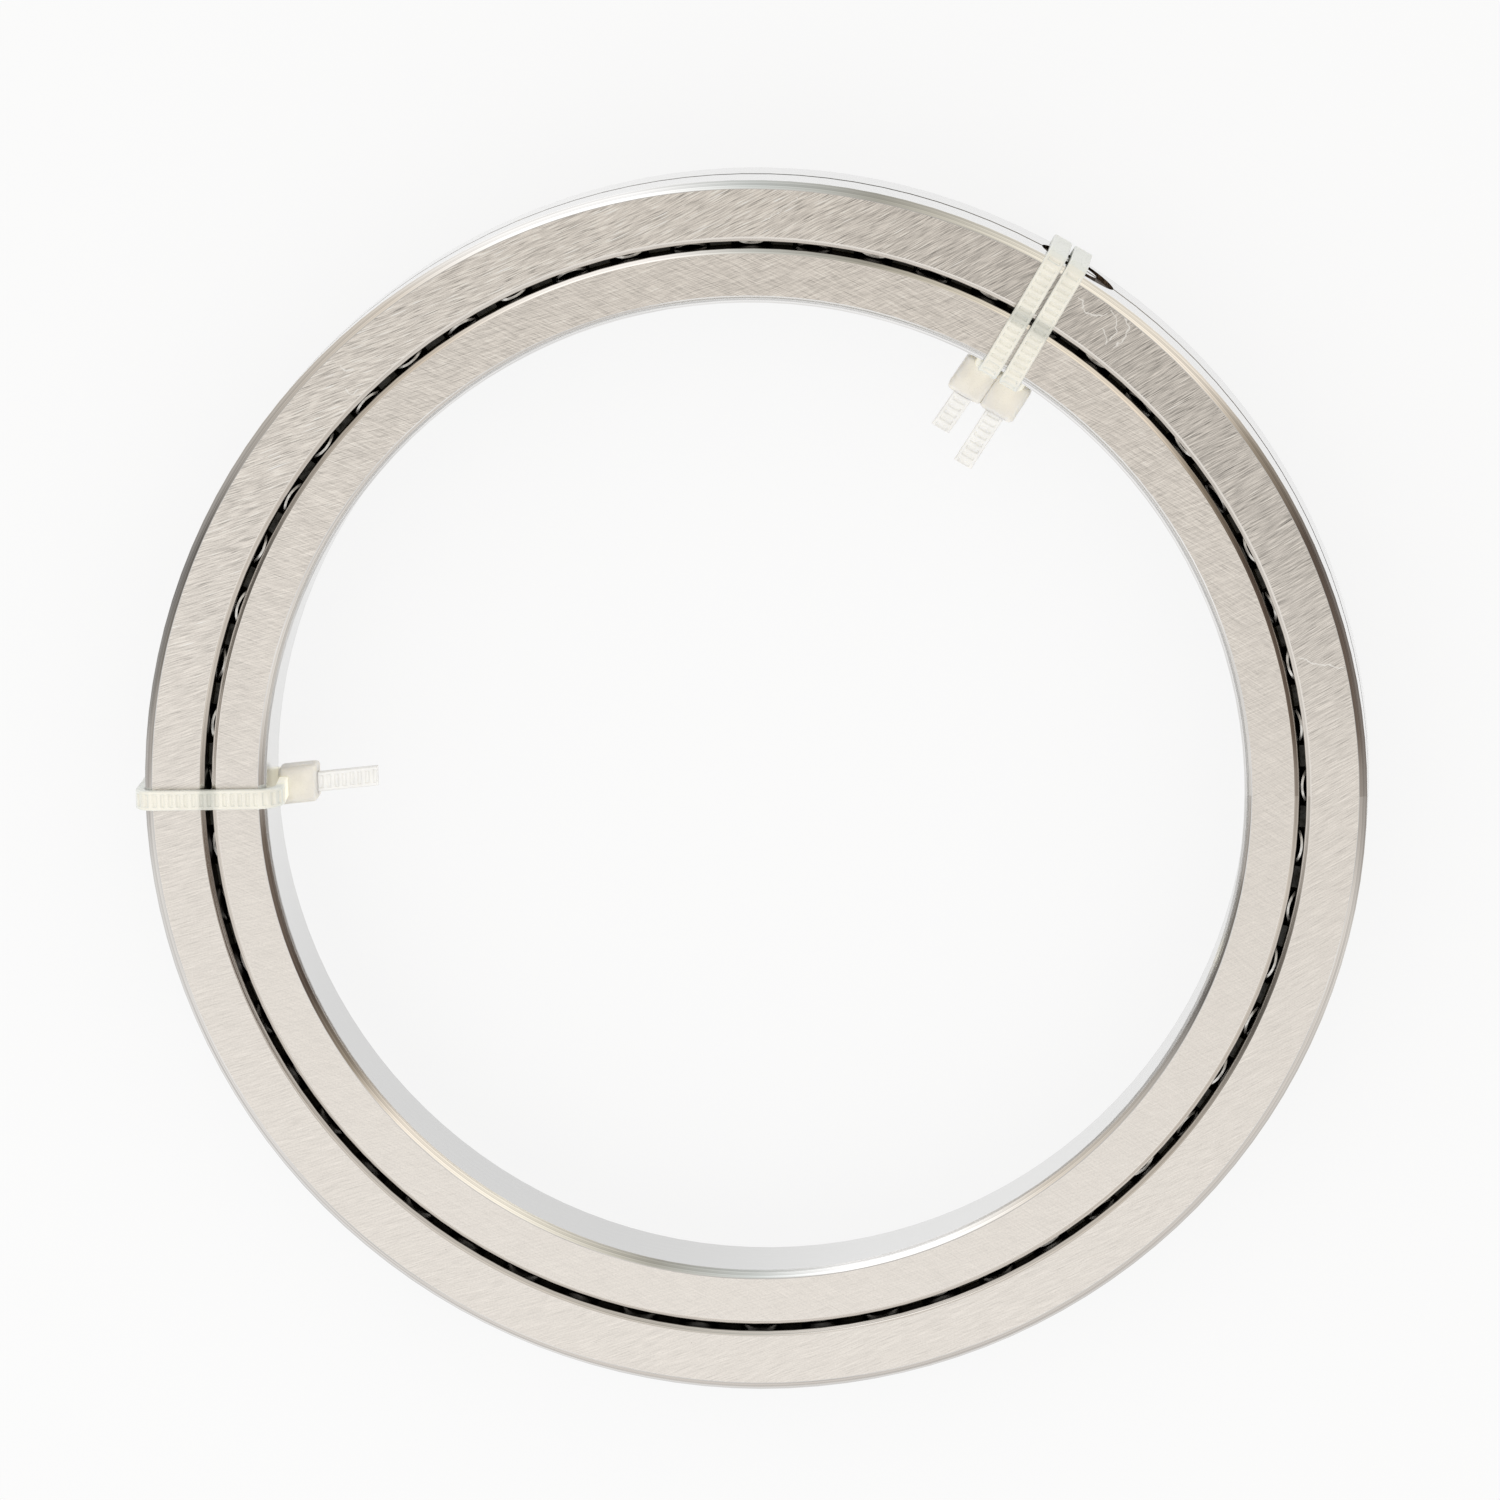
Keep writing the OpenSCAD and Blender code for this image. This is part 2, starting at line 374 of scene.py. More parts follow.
def make_zone_group():
    """Tells the faces, round walls, chamfers and oiled channel of a ring apart."""
    inputs = ("Low", "Low leg", "High", "High leg", "Crown", "Gap lean")
    outputs = ("Face", "Wall", "Channel", "Across", "Crown", "Gap")
    graph, given, out = new_group("Ring zones", inputs, outputs)
    rise = graph.math("ABSOLUTE", graph.rise())
    position = graph.position()
    radius = graph.measure("LENGTH", graph.flat(position))
    drop = graph.minus(HALF_WIDTH * PER_MM, graph.math("ABSOLUTE", graph.split(position)["Z"]))
    inside = graph.math("GREATER_THAN", radius, BORE_R * PER_MM + CHANNEL_FROM_BORE)
    outside = graph.math("LESS_THAN", radius, OUTER_R * PER_MM - CHANNEL_FROM_OUTSIDE)

    # Place across a chamfer: -1 at its face edge and 1 at its wall edge
    high_side = graph.math("GREATER_THAN", radius, graph.times(graph.plus(given["Low"], given["High"]), 0.5))
    leg = graph.blend(high_side, given["Low leg"], given["High leg"])
    past = graph.blend(high_side, graph.minus(given["Low"], radius), graph.minus(radius, given["High"]))
    across = graph.plus(past, graph.minus(drop, graph.times(leg, 0.5)))
    place_across = graph.math("DIVIDE", across, leg)
    at_gap = graph.math("LESS_THAN", leg, LONGEST_GAP_LEG)
    crown = graph.times(given["Crown"], graph.blend(at_gap, CORNER_CROWN, 0.0))
    sag = graph.times(place_across, place_across, crown)
    edge = graph.math("MAXIMUM", graph.minus(ROLL_START, place_across), 0.0)
    fall = graph.times(graph.plus(sag, graph.times(edge, edge, ROLL_RATE)), leg)
    lean = graph.times(across, given["Gap lean"], math.sqrt(0.5), at_gap)
    graph.fill(out, {
        "Face": graph.ramp(rise, *FACE_RISE),
        "Wall": graph.ramp(rise, *WALL_RISE, 1.0, 0.0),
        "Channel": graph.times(inside, outside, graph.ramp(drop, *OIL_AND_SHADE_DEPTH)),
        "Gap": at_gap,
        "Across": across,
        "Crown": graph.minus(lean, fall),
    })


def make_grinding_group():
    """Long fine lines on a ground face, all of one lay and slightly curved."""
    inputs, outputs = ("Position", "Lay", "Arc"), ("Lines", "Dark", "Light")
    graph, given, out = new_group("Grinding lines", inputs, outputs)
    turned = graph.turned(given["Position"], graph.times(given["Lay"], -1.0))
    along, across, _ = graph.split(turned).values()
    bow = graph.math("DIVIDE", graph.times(along, along), graph.times(given["Arc"], 2.0))
    wander = graph.times(graph.noise(given["Position"], 0.10, 1.0), 0.9)
    across = graph.plus(graph.minus(across, bow), wander)

    def lines(width, run, detail, offset):
        """Noise drawn out into lines of a width and a run in millimetres."""
        vector = graph.join(graph.math("DIVIDE", along, run), graph.math("DIVIDE", across, width), offset)
        return graph.noise(vector, 1.0, detail, 0.6)

    fine = lines(0.105, 2.4, 1.0, 0.0)
    medium = lines(0.16, 5.0, 2.0, 10.0)
    graph.fill(out, {
        "Lines": graph.blend(0.5, fine, medium),
        "Dark": graph.ramp(lines(0.125, 2.8, 1.0, 20.0), 0.58, 0.72),
        "Light": graph.ramp(lines(0.125, 5.0, 1.0, 30.0), 0.60, 0.74),
    })


def make_turning_group():
    """Fine rings left by turning, for chamfers and round walls."""
    graph, given, out = new_group("Turning lines", ("Across",), ("Lines",))
    drift = graph.noise(graph.scaled(graph.position(), 0.05), 1.0, 1.0)
    vector = graph.join(graph.times(given["Across"], 3.0), drift)
    graph.fill(out, {"Lines": graph.ramp(graph.noise(vector, 1.0, 2.0, 0.6), 0.3, 0.7)})


def make_speck_group():
    """Sparse small specks and pits."""
    graph, given, out = new_group("Specks", ("Position", "Spacing", "Radius", "Sparse"), ("Specks",))
    vector = graph.scaled(given["Position"], graph.math("DIVIDE", 1.0, given["Spacing"]))
    cells = graph.node("TexVoronoi", {"Vector": vector, "Scale": 1.0}).outputs
    picked = graph.math("GREATER_THAN", graph.split(cells["Color"])["X"], given["Sparse"])
    reach = graph.math("DIVIDE", given["Radius"], given["Spacing"])
    spot = graph.math("LESS_THAN", cells["Distance"], reach)
    graph.fill(out, {"Specks": graph.times(spot, picked)})


def make_oil_group():
    """Patchy film of oil."""
    graph, given, out = new_group("Oil film", ("Position", "Cover"), ("Film",))
    patches = graph.noise(given["Position"], 0.8, 4.0, 0.6)
    above = graph.minus(patches, graph.minus(1.0, given["Cover"]))
    graph.fill(out, {"Film": graph.ramp(above, -0.2, 0.2)})


def make_scratch_group():
    """One thin curved scratch: a stretch of a circle in the plane of the face."""
    inputs = ("Position", "Centre", "Facing", "Bend", "Reach", "Width")
    graph, given, out = new_group("Scratch", inputs, ("Scratch",))
    arm = graph.flat(graph.vector("SUBTRACT", given["Position"], given["Centre"]))
    off = graph.math("ABSOLUTE", graph.minus(graph.measure("LENGTH", arm), given["Bend"]))
    thin = graph.ramp(off, 0.0, given["Width"], 1.0, 0.0)
    way = graph.measure("DOT_PRODUCT", graph.vector("NORMALIZE", arm), given["Facing"])
    full = graph.plus(graph.times(given["Reach"], 0.9), 0.1)
    graph.fill(out, {"Scratch": graph.times(thin, graph.ramp(way, given["Reach"], full))})


def make_horizon_group():
    """What stands round the studio, by its direction from the bearing."""
    graph, given, out = new_group("Studio horizon", ("Direction",), ("Tone",))
    way = graph.split(given["Direction"])
    turn = graph.math("DIVIDE", graph.math("ARCTAN2", way["Y"], way["X"]), 2 * math.pi)
    ramp = graph.node("ValToRGB", {"Fac": graph.plus(turn, 0.5)})
    stops = ramp.color_ramp.elements
    while len(stops) < len(HORIZON):
        stops.new(0.5)
    for stop, (degrees, tone) in zip(stops, HORIZON):
        stop.position = degrees / 360 + 0.5
        stop.color = (*tone, 1.0)
    graph.fill(out, {"Tone": ramp.outputs["Color"]})


def make_groups():
    """Every shared effect, built once."""
    for make in (make_zone_group, make_grinding_group, make_turning_group, make_speck_group, make_oil_group,
                 make_scratch_group, make_horizon_group):
        make()


def empty_graph(owner):
    """The graph of a material or a world, with nothing in it yet."""
    owner.use_nodes = True
    owner.node_tree.nodes.clear()
    return Graph(owner.node_tree)


def new_material(name):
    """A material with its graph and its Principled shader."""
    material = bpy.data.materials.new(name)
    graph = empty_graph(material)
    shader = graph.node("BsdfPrincipled")
    graph.node("OutputMaterial", {"Surface": shader.outputs["BSDF"]})
    return material, graph, shader


# Width of the camera's sensor in millimetres, and side of the photograph in pixels
SENSOR = 36
PHOTO_SIDE = 1500

# Scratches on the front face of the outer ring: three pixels of the photograph that each runs through, and
# its width in millimetres
SCRATCHES = {
    "squiggle start": ((1078, 296), (1083, 302), (1080, 310), 0.13),
    "squiggle end": ((1082, 309), (1092, 315), (1107, 312), 0.13),
    "inner arc": ((1111, 310), (1116.5, 326), (1109.5, 341), 0.13),
    "outer arc": ((1117, 310), (1128, 326), (1112, 347), 0.13),
    "short arc": ((1102, 328), (1106, 336), (1105, 346), 0.12),
    "right line": ((1298, 659), (1321, 664.5), (1345, 668), 0.11),
    "top line": ((764, 219), (781, 209.5), (797, 198), 0.11),
    "upper curl": ((340, 364), (346, 370), (353, 368), 0.12),
    "lower curl": ((345, 388), (351, 393), (358, 390), 0.12),
}


def camera_axes(setup):
    """The camera's right, up and back, square to each other."""
    back = -Vector(setup.camera_look).normalized()
    up = Vector(setup.camera_up)
    up = (up - back * up.dot(back)).normalized()
    return up.cross(back), up, back


def on_front(setup, pixel):
    """The point of the front face that a pixel of the photograph shows, in millimetres."""
    right, up, back = camera_axes(setup)
    middle = Vector((PHOTO_SIDE / 2, PHOTO_SIDE / 2))
    across, down = (Vector(pixel) - middle) * SENSOR / (PHOTO_SIDE * setup.camera_lens)
    ray = right * across - up * down - back
    start = Vector(setup.camera_place)
    return (start + ray * (HALF_WIDTH - start.z) / ray.z) * PER_MM


def circle_centre(a, b, c):
    """The centre of the circle through three points."""
    u, v = b - a, c - a
    w = u.cross(v)
    return a + (w.cross(u) * v.length_squared + v.cross(w) * u.length_squared) / (2 * w.length_squared)


def scratch_mask(graph, position, setup):
    """All the scratches of the front face, which wander a little from their arcs."""
    wander = graph.node("TexNoise", {"Vector": position, "Scale": 0.9}).outputs["Color"]
    wander = graph.scaled(graph.vector("SUBTRACT", wander, (0.5, 0.5, 0.5)), 1.2)
    position = graph.vector("ADD", position, wander)
    masks = []
    for *marks, width in SCRATCHES.values():
        start, middle, end = (on_front(setup, mark) for mark in marks)
        centre = circle_centre(start, middle, end)
        first, last = (start - centre).normalized(), (end - centre).normalized()
        facing = (first + last).normalized()
        scratch = graph.group("Scratch", Position=position, Centre=centre, Facing=facing, Width=width,
                              Bend=(start - centre).length, Reach=first.dot(facing))
        masks.append(scratch["Scratch"])
    return reduce(lambda a, b: graph.math("MAXIMUM", a, b), masks)


# Where the painted shade toward one side of the outer ring's face begins and is full, as a cosine from its
# middle, and how many times as strong the tone of its grinding lines is there
PAINTED_SIDE_SHADE_REACH = (0.72, 1.0)
SIDE_LINE_STRENGTH = 1.2

# Tone of the turning lines, from dark to light, on the chamfers and on the round walls
CHAMFER_TONES = (0.74, 1.10)
WALL_TONES = (0.975, 1.01)

# Where the painted shade toward one side of a round wall begins and is full, as a cosine from its middle
PAINTED_WALL_SHADE_REACH = (0.60, 0.95)

# How dark the specks are on the faces and on the walls
FACE_SPECKS = 0.6
WALL_SPECKS = 0.30

# Roughness of oiled steel and of the clamp rings
OILED_ROUGHNESS = 0.34
CLAMP_ROUGHNESS = 0.5

# How far a mask reaches past its edge, and how deep the clamp rings' mask goes, in millimetres
MASK_MARGIN = 0.02
CLAMP_REACH = 3.0


def toward(graph, position, way):
    """How nearly a point lies in one direction from the bearing's axis: 1 right in it, 0 square to it."""
    arm = graph.vector("NORMALIZE", graph.flat(position))
    return graph.measure("DOT_PRODUCT", arm, heading(way))


def clamp_mask(graph, position, finish):
    """The clamp rings and their grooves, of which the second lies opposite the first."""
    turned = graph.turned(position, -finish.clamp_angle)
    out = graph.math("ABSOLUTE", graph.split(turned)["X"])
    spread = graph.measure("LENGTH", graph.vector("MULTIPLY", turned, (0.0, 1.0, 1.0)))
    within = graph.math("LESS_THAN", spread, finish.clamp_groove_r * PER_MM + MASK_MARGIN)
    past_boss = graph.math("GREATER_THAN", spread, finish.clamp_boss_r * PER_MM - MASK_MARGIN)
    near_outside = graph.math("GREATER_THAN", out, OUTER_R * PER_MM - CLAMP_REACH)
    return graph.times(within, past_boss, near_outside)


def ring_material(name, finish, low, high, crossed, setup=None):
    """Ground steel with turned chamfers, oil and painted shade in the channel, painted shade toward one side
    of the round wall and of the outer ring's face, and scratches where a stage is given.
    """
    material, graph, shader = new_material(name)
    position = graph.position()
    zones = graph.group("Ring zones", Low=low[0] * PER_MM, Low_leg=low[1] * PER_MM, High=high[0] * PER_MM,
                        High_leg=high[1] * PER_MM, Crown=finish.crown, Gap_lean=math.tan(finish.gap_lean))
    arc = finish.grind_arc * PER_MM
    lay = finish.inner_angle if crossed else finish.grind_angle
    marks = graph.group("Grinding lines", Position=position, Lay=lay, Arc=arc).values()
    strength = finish.line_tone
    if crossed:
        cross = graph.group("Grinding lines", Position=position, Lay=finish.cross_angle, Arc=-arc).values()
        marks = [graph.blend(0.5, *pair) for pair in zip(marks, cross)]
        # Painted shade toward one side of the bore
        corner_colour, wall_colour = finish.bore_edge_colour, finish.bore_colour
        painted_wall_shade_way, painted_wall_shade = finish.painted_bore_shade_way, finish.painted_bore_shade
    else:
        # Painted shade: the outer ring's face is darker toward one side, and the tone of its lines is
        # stronger there
        deep = toward(graph, position, finish.painted_side_shade_way)
        strength = graph.ramp(deep, *PAINTED_SIDE_SHADE_REACH, strength, SIDE_LINE_STRENGTH * strength)
        shade = graph.ramp(deep, *PAINTED_SIDE_SHADE_REACH, 1.0, 1.0 - finish.painted_side_shade)
        corner_colour, wall_colour = finish.edge_colour, finish.wall_colour
        painted_wall_shade_way, painted_wall_shade = finish.painted_outside_shade_way, finish.painted_outside_shade
    turning = graph.group("Turning lines", Across=zones["Across"])["Lines"]
    specks = graph.group("Specks", Position=position, Spacing=1.9, Radius=0.07, Sparse=0.965)["Specks"]

    face = graph.tint(finish.face_colour, line_tone(graph, position, strength, marks))
    # Painted shade toward one side of the outer ring's face
    if not crossed:
        face = graph.tint(face, shade)
    face = graph.mix(graph.times(specks, FACE_SPECKS), face, finish.speck_colour)
    if setup is not None:
        face = graph.mix(scratch_mask(graph, position, setup), face, finish.scratch_colour)
    edge = graph.mix(zones["Gap"], corner_colour, finish.gap_edge_colour)
    edge = graph.tint(edge, graph.ramp(turning, 0.0, 1.0, *CHAMFER_TONES))
    wall = graph.tint(wall_colour, graph.ramp(turning, 0.0, 1.0, *WALL_TONES))
    # Painted shade: the round wall is darker toward one side (the bore on the inner ring, the outside
    # diameter on the outer)
    toward_wall_shade = toward(graph, position, painted_wall_shade_way)
    wall = graph.tint(wall, graph.ramp(toward_wall_shade, *PAINTED_WALL_SHADE_REACH, 1.0, 1.0 - painted_wall_shade))
    wall = graph.mix(graph.times(specks, WALL_SPECKS), wall, finish.speck_colour)
    steel = graph.mix(zones["Wall"], graph.mix(zones["Face"], edge, face), wall)
    rough = graph.blend(zones["Face"], finish.edge_roughness, finish.face_roughness)
    rough = graph.blend(zones["Wall"], rough, finish.wall_roughness)
    if not crossed:
        steel, rough = dark_joints(graph, position, finish, steel, rough)

    # Oil and painted shade: deep in the channel the steel takes a near-black colour, which also stands in for
    # the shade there
    film = graph.group("Oil film", Position=position, Cover=0.85)["Film"]
    oiled = graph.times(zones["Channel"], graph.ramp(film, 0.0, 1.0, 0.92, 1.0))
    turned = graph.plus(zones["Crown"], graph.times(turning, finish.turning_depth * PER_MM))
    turned = graph.times(turned, graph.minus(1.0, zones["Wall"]))
    height = graph.blend(zones["Face"], turned, graph.times(marks[0], finish.line_depth * PER_MM))
    graph.fill(shader, {
        "Metallic": 1.0,
        "Base Color": graph.mix(oiled, steel, finish.oil_and_shade_colour),
        "Roughness": graph.blend(oiled, rough, OILED_ROUGHNESS),
        "Normal": graph.bump(height, MM),
    })
    return material


# Tone of the grinding lines: the heights, as shares of the outer radius, between which they grow from faint
# to full, their strength where faint, and the swing of the lines, of single light and dark ones and of grain
# The grinding lines are real marks; their growing from faint at the bottom to full at the top is painted
# light
LINES_GROW = (-0.40, 0.75)
FAINT_LINES = 0.24
LINE_SWING = 2.6
LIGHT_LINES = 0.34
DARK_LINES = 0.42
GRAIN_SWING = 0.07


def line_tone(graph, position, most, marks):
    """Tone of the grinding lines: strong on the upper half of the rings and faint on the lower half, the
    fading toward the bottom being painted light.
    """
    lines, dark, light = marks
    height = graph.math("DIVIDE", graph.split(position)["Y"], OUTER_R * PER_MM)
    strength = graph.times(graph.ramp(height, *LINES_GROW, FAINT_LINES, 1.0), most)
    swing = graph.times(graph.minus(lines, 0.5), LINE_SWING)
    accents = graph.minus(graph.times(light, LIGHT_LINES), graph.times(dark, DARK_LINES))
    grain = graph.ramp(graph.noise(position, 4.5, 2.0, 0.7), 0.2, 0.8, -GRAIN_SWING, GRAIN_SWING)
    return graph.plus(1.0, grain, graph.times(strength, graph.plus(swing, accents)))


def dark_joints(graph, position, finish, steel, rough):
    """Adds the dark line of the split and the dark clamp rings to the outer ring's steel."""
    off_split = graph.math("ABSOLUTE", graph.split(position)["Z"])
    near_split = graph.math("LESS_THAN", off_split, finish.split_half * PER_MM + MASK_MARGIN)
    steel = graph.mix(near_split, steel, finish.split_colour)
    clamps = clamp_mask(graph, position, finish)
    grit = graph.ramp(graph.noise(position, 2.6, 5.0, 0.7), 0.35, 0.68, 0.25, 2.4)
    steel = graph.mix(clamps, steel, graph.tint(finish.clamp_colour, grit))
    return steel, graph.blend(clamps, rough, CLAMP_ROUGHNESS)


def roller_material(finish):
    """Polished roller steel under patches of brown oil."""
    material, graph, shader = new_material("roller_steel_oiled")
    position = graph.position()
    film = graph.group("Oil film", Position=position, Cover=0.42)["Film"]
    graph.fill(shader, {
        "Metallic": 1.0,
        "Base Color": graph.mix(graph.times(film, 0.7), finish.roller_colour, finish.film_colour),
        "Roughness": graph.ramp(graph.noise(position, 9.0, 3.0), 0.3, 0.7, 0.10, 0.20),
    })
    return material


def spacer_material(finish):
    """Dark moulded resin, wet with oil in places."""
    material, graph, shader = new_material("spacer_resin_oiled")
    position = graph.position()
    mottle = graph.ramp(graph.noise(position, 1.6, 4.0, 0.6), 0.3, 0.7, 0.7, 1.35)
    film = graph.group("Oil film", Position=position, Cover=0.55)["Film"]
    graph.fill(shader, {
        "Base Color": graph.tint(finish.spacer_colour, mottle),
        "Roughness": graph.ramp(film, 0.0, 1.0, 0.55, 0.25),
        "Normal": graph.bump(graph.noise(position, 6.0, 3.0), 0.02 * MM, 0.4),
    })
    return material


def nylon_material(name, base, clear, milky):
    """Natural nylon, milky and a little see-through."""
    material, graph, shader = new_material(name)
    position = graph.position()
    cloud = graph.ramp(graph.noise(position, 0.5, 3.0), 0.3, 0.7, 0.95, 1.02)
    graph.fill(shader, {
        "Base Color": graph.tint(base, cloud),
        "Roughness": graph.ramp(graph.noise(position, 7.0, 2.0), 0.3, 0.7, 0.26, 0.38),
        "IOR": 1.53,
        "Transmission Weight": clear,
        "Subsurface Weight": milky,
        "Subsurface Radius": (1.0, 0.95, 0.8),
        "Subsurface Scale": 1.5 * MM,
    })
    return material, graph, shader


# A strap's nylon: how far up its surface points where the painted cooler shade of its sides is full and where
# it ends; then, in millimetres, how far from its middle the painted shade of the gap is full and ends, and
# the heights between which the painted glow in the bore fades; and how much of the gap's painted shade shows
PAINTED_TURN_SHADE_RISE = (0.35, 0.95)
PAINTED_GAP_REACH = (0.5, 1.5)
PAINTED_GLOW_FADE = (4.0, 7.5)
PAINTED_GAP_SHOW = 0.5


def strap_material(sizes, gap):
    """Nylon of a strap, with painted shade: cooler where it turns down and dark where it crosses the gap; and
    a painted glow in the bore.
    """
    material, graph, shader = nylon_material("tie_nylon", sizes.nylon_colour, sizes.strap_clear,
                                             sizes.strap_milky)
    position = graph.position()
    nylon = shader.inputs["Base Color"].links[0].from_socket
    # Painted shade: a cooler, darker tone where the strap's surface turns away from straight up
    nylon = graph.mix(graph.ramp(graph.rise(), *PAINTED_TURN_SHADE_RISE, 1.0, 0.0), nylon, sizes.painted_turn_shade_colour)
    radius = graph.measure("LENGTH", graph.flat(position))
    off_gap = graph.math("ABSOLUTE", graph.minus(radius, (INNER_LAND_R + gap / 2) * PER_MM))
    in_bore = graph.math("LESS_THAN", radius, BORE_R * PER_MM)
    # Painted light: emission on the strap inside the bore, fading with height
    painted_glow_level = graph.ramp(graph.split(position)["Z"], *PAINTED_GLOW_FADE, 1.0, 0.0)
    # Painted shade: the strap is darkened where it crosses the gap between the rings
    painted_gap_mask = graph.ramp(off_gap, *PAINTED_GAP_REACH, PAINTED_GAP_SHOW, 0.0)
    graph.fill(shader, {
        "Base Color": graph.mix(painted_gap_mask, nylon, sizes.painted_gap_shade),
        "Emission Color": graph.mix(graph.times(in_bore, painted_glow_level), (0.0, 0.0, 0.0), sizes.painted_bore_glow),
        "Emission Strength": 1.0,
    })
    return material


def add_object(context, name, data):
    """A new object in the scene."""
    made = bpy.data.objects.new(name, data)
    context.scene.collection.objects.link(made)
    return made


def dress(node_name, material):
    """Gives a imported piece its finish."""
    materials = NODES[node_name].data.materials
    materials.clear()
    materials.append(material)


def rounded_route(corners, steps=14):
    """Points along a flat line through the corners, each turned with its own radius."""
    first, last = Vector(corners[0][0]), Vector(corners[-1][0])
    points = [first]
    for (before, _), (corner, radius), (after, _) in zip(corners, corners[1:], corners[2:]):
        corner = Vector(corner)
        come, go = (corner - Vector(before)).normalized(), (Vector(after) - corner).normalized()
        turn = come.angle_signed(go)
        trim = radius * math.tan(abs(turn) / 2)
        start = corner - come * trim
        middle = start + (go - come * come.dot(go)).normalized() * radius
        for step in range(steps + 1):
            swing = Matrix.Rotation(-turn * step / steps, 2)
            points.append(middle + swing @ (start - middle))
    return points + [last]


def along_route(points):
    """A function from the distance along a line to its point and direction, and the line's length."""
    ends = [0.0]
    for a, b in zip(points, points[1:]):
        ends.append(ends[-1] + (b - a).length)

    def at(distance):
        k = 0
        while k < len(points) - 2 and ends[k + 1] < distance:
            k += 1
        a, b = points[k], points[k + 1]
        return a.lerp(b, (distance - ends[k]) / (ends[k + 1] - ends[k])), (b - a).normalized()

    return at, ends[-1]


def bridge(mesh, rings, material_index):
    """Skins a row of closed rings of points, and caps the two ends."""
    loops = [[mesh.verts.new(point) for point in ring] for ring in rings]
    faces = []
    for a, b in zip(loops, loops[1:]):
        for k in range(len(a)):
            n = (k + 1) % len(a)
            faces.append(mesh.faces.new((a[k], a[n], b[n], b[k])))
    faces.append(mesh.faces.new(list(reversed(loops[0]))))
    faces.append(mesh.faces.new(loops[-1]))
    for face in faces:
        face.material_index = material_index
    return faces


def rounded_box_ring(width, height, radius, steps=5):
    """Points round a rectangle with round corners, about the origin."""
    ring = []
    for quarter in range(4):
        sign_x = 1 if quarter in (0, 3) else -1
        sign_y = 1 if quarter in (0, 1) else -1
        for step in range(steps + 1):
            turn = math.radians(90 * (quarter + step / steps))
            ring.append(Vector((sign_x * (width / 2 - radius) + radius * math.cos(turn),
                                sign_y * (height / 2 - radius) + radius * math.sin(turn))))
    return ring


# The three nylons of a tie, by their place among its materials
STRAP, HEAD, TAIL = range(3)

# One rung of a strap: places along its pitch, and the share of the hollow's depth at each
RUNG = ((0.02, 0.0), (0.22, 1.0), (0.34, 1.0), (0.46, 1.0), (0.66, 0.0), (0.84, 0.0))


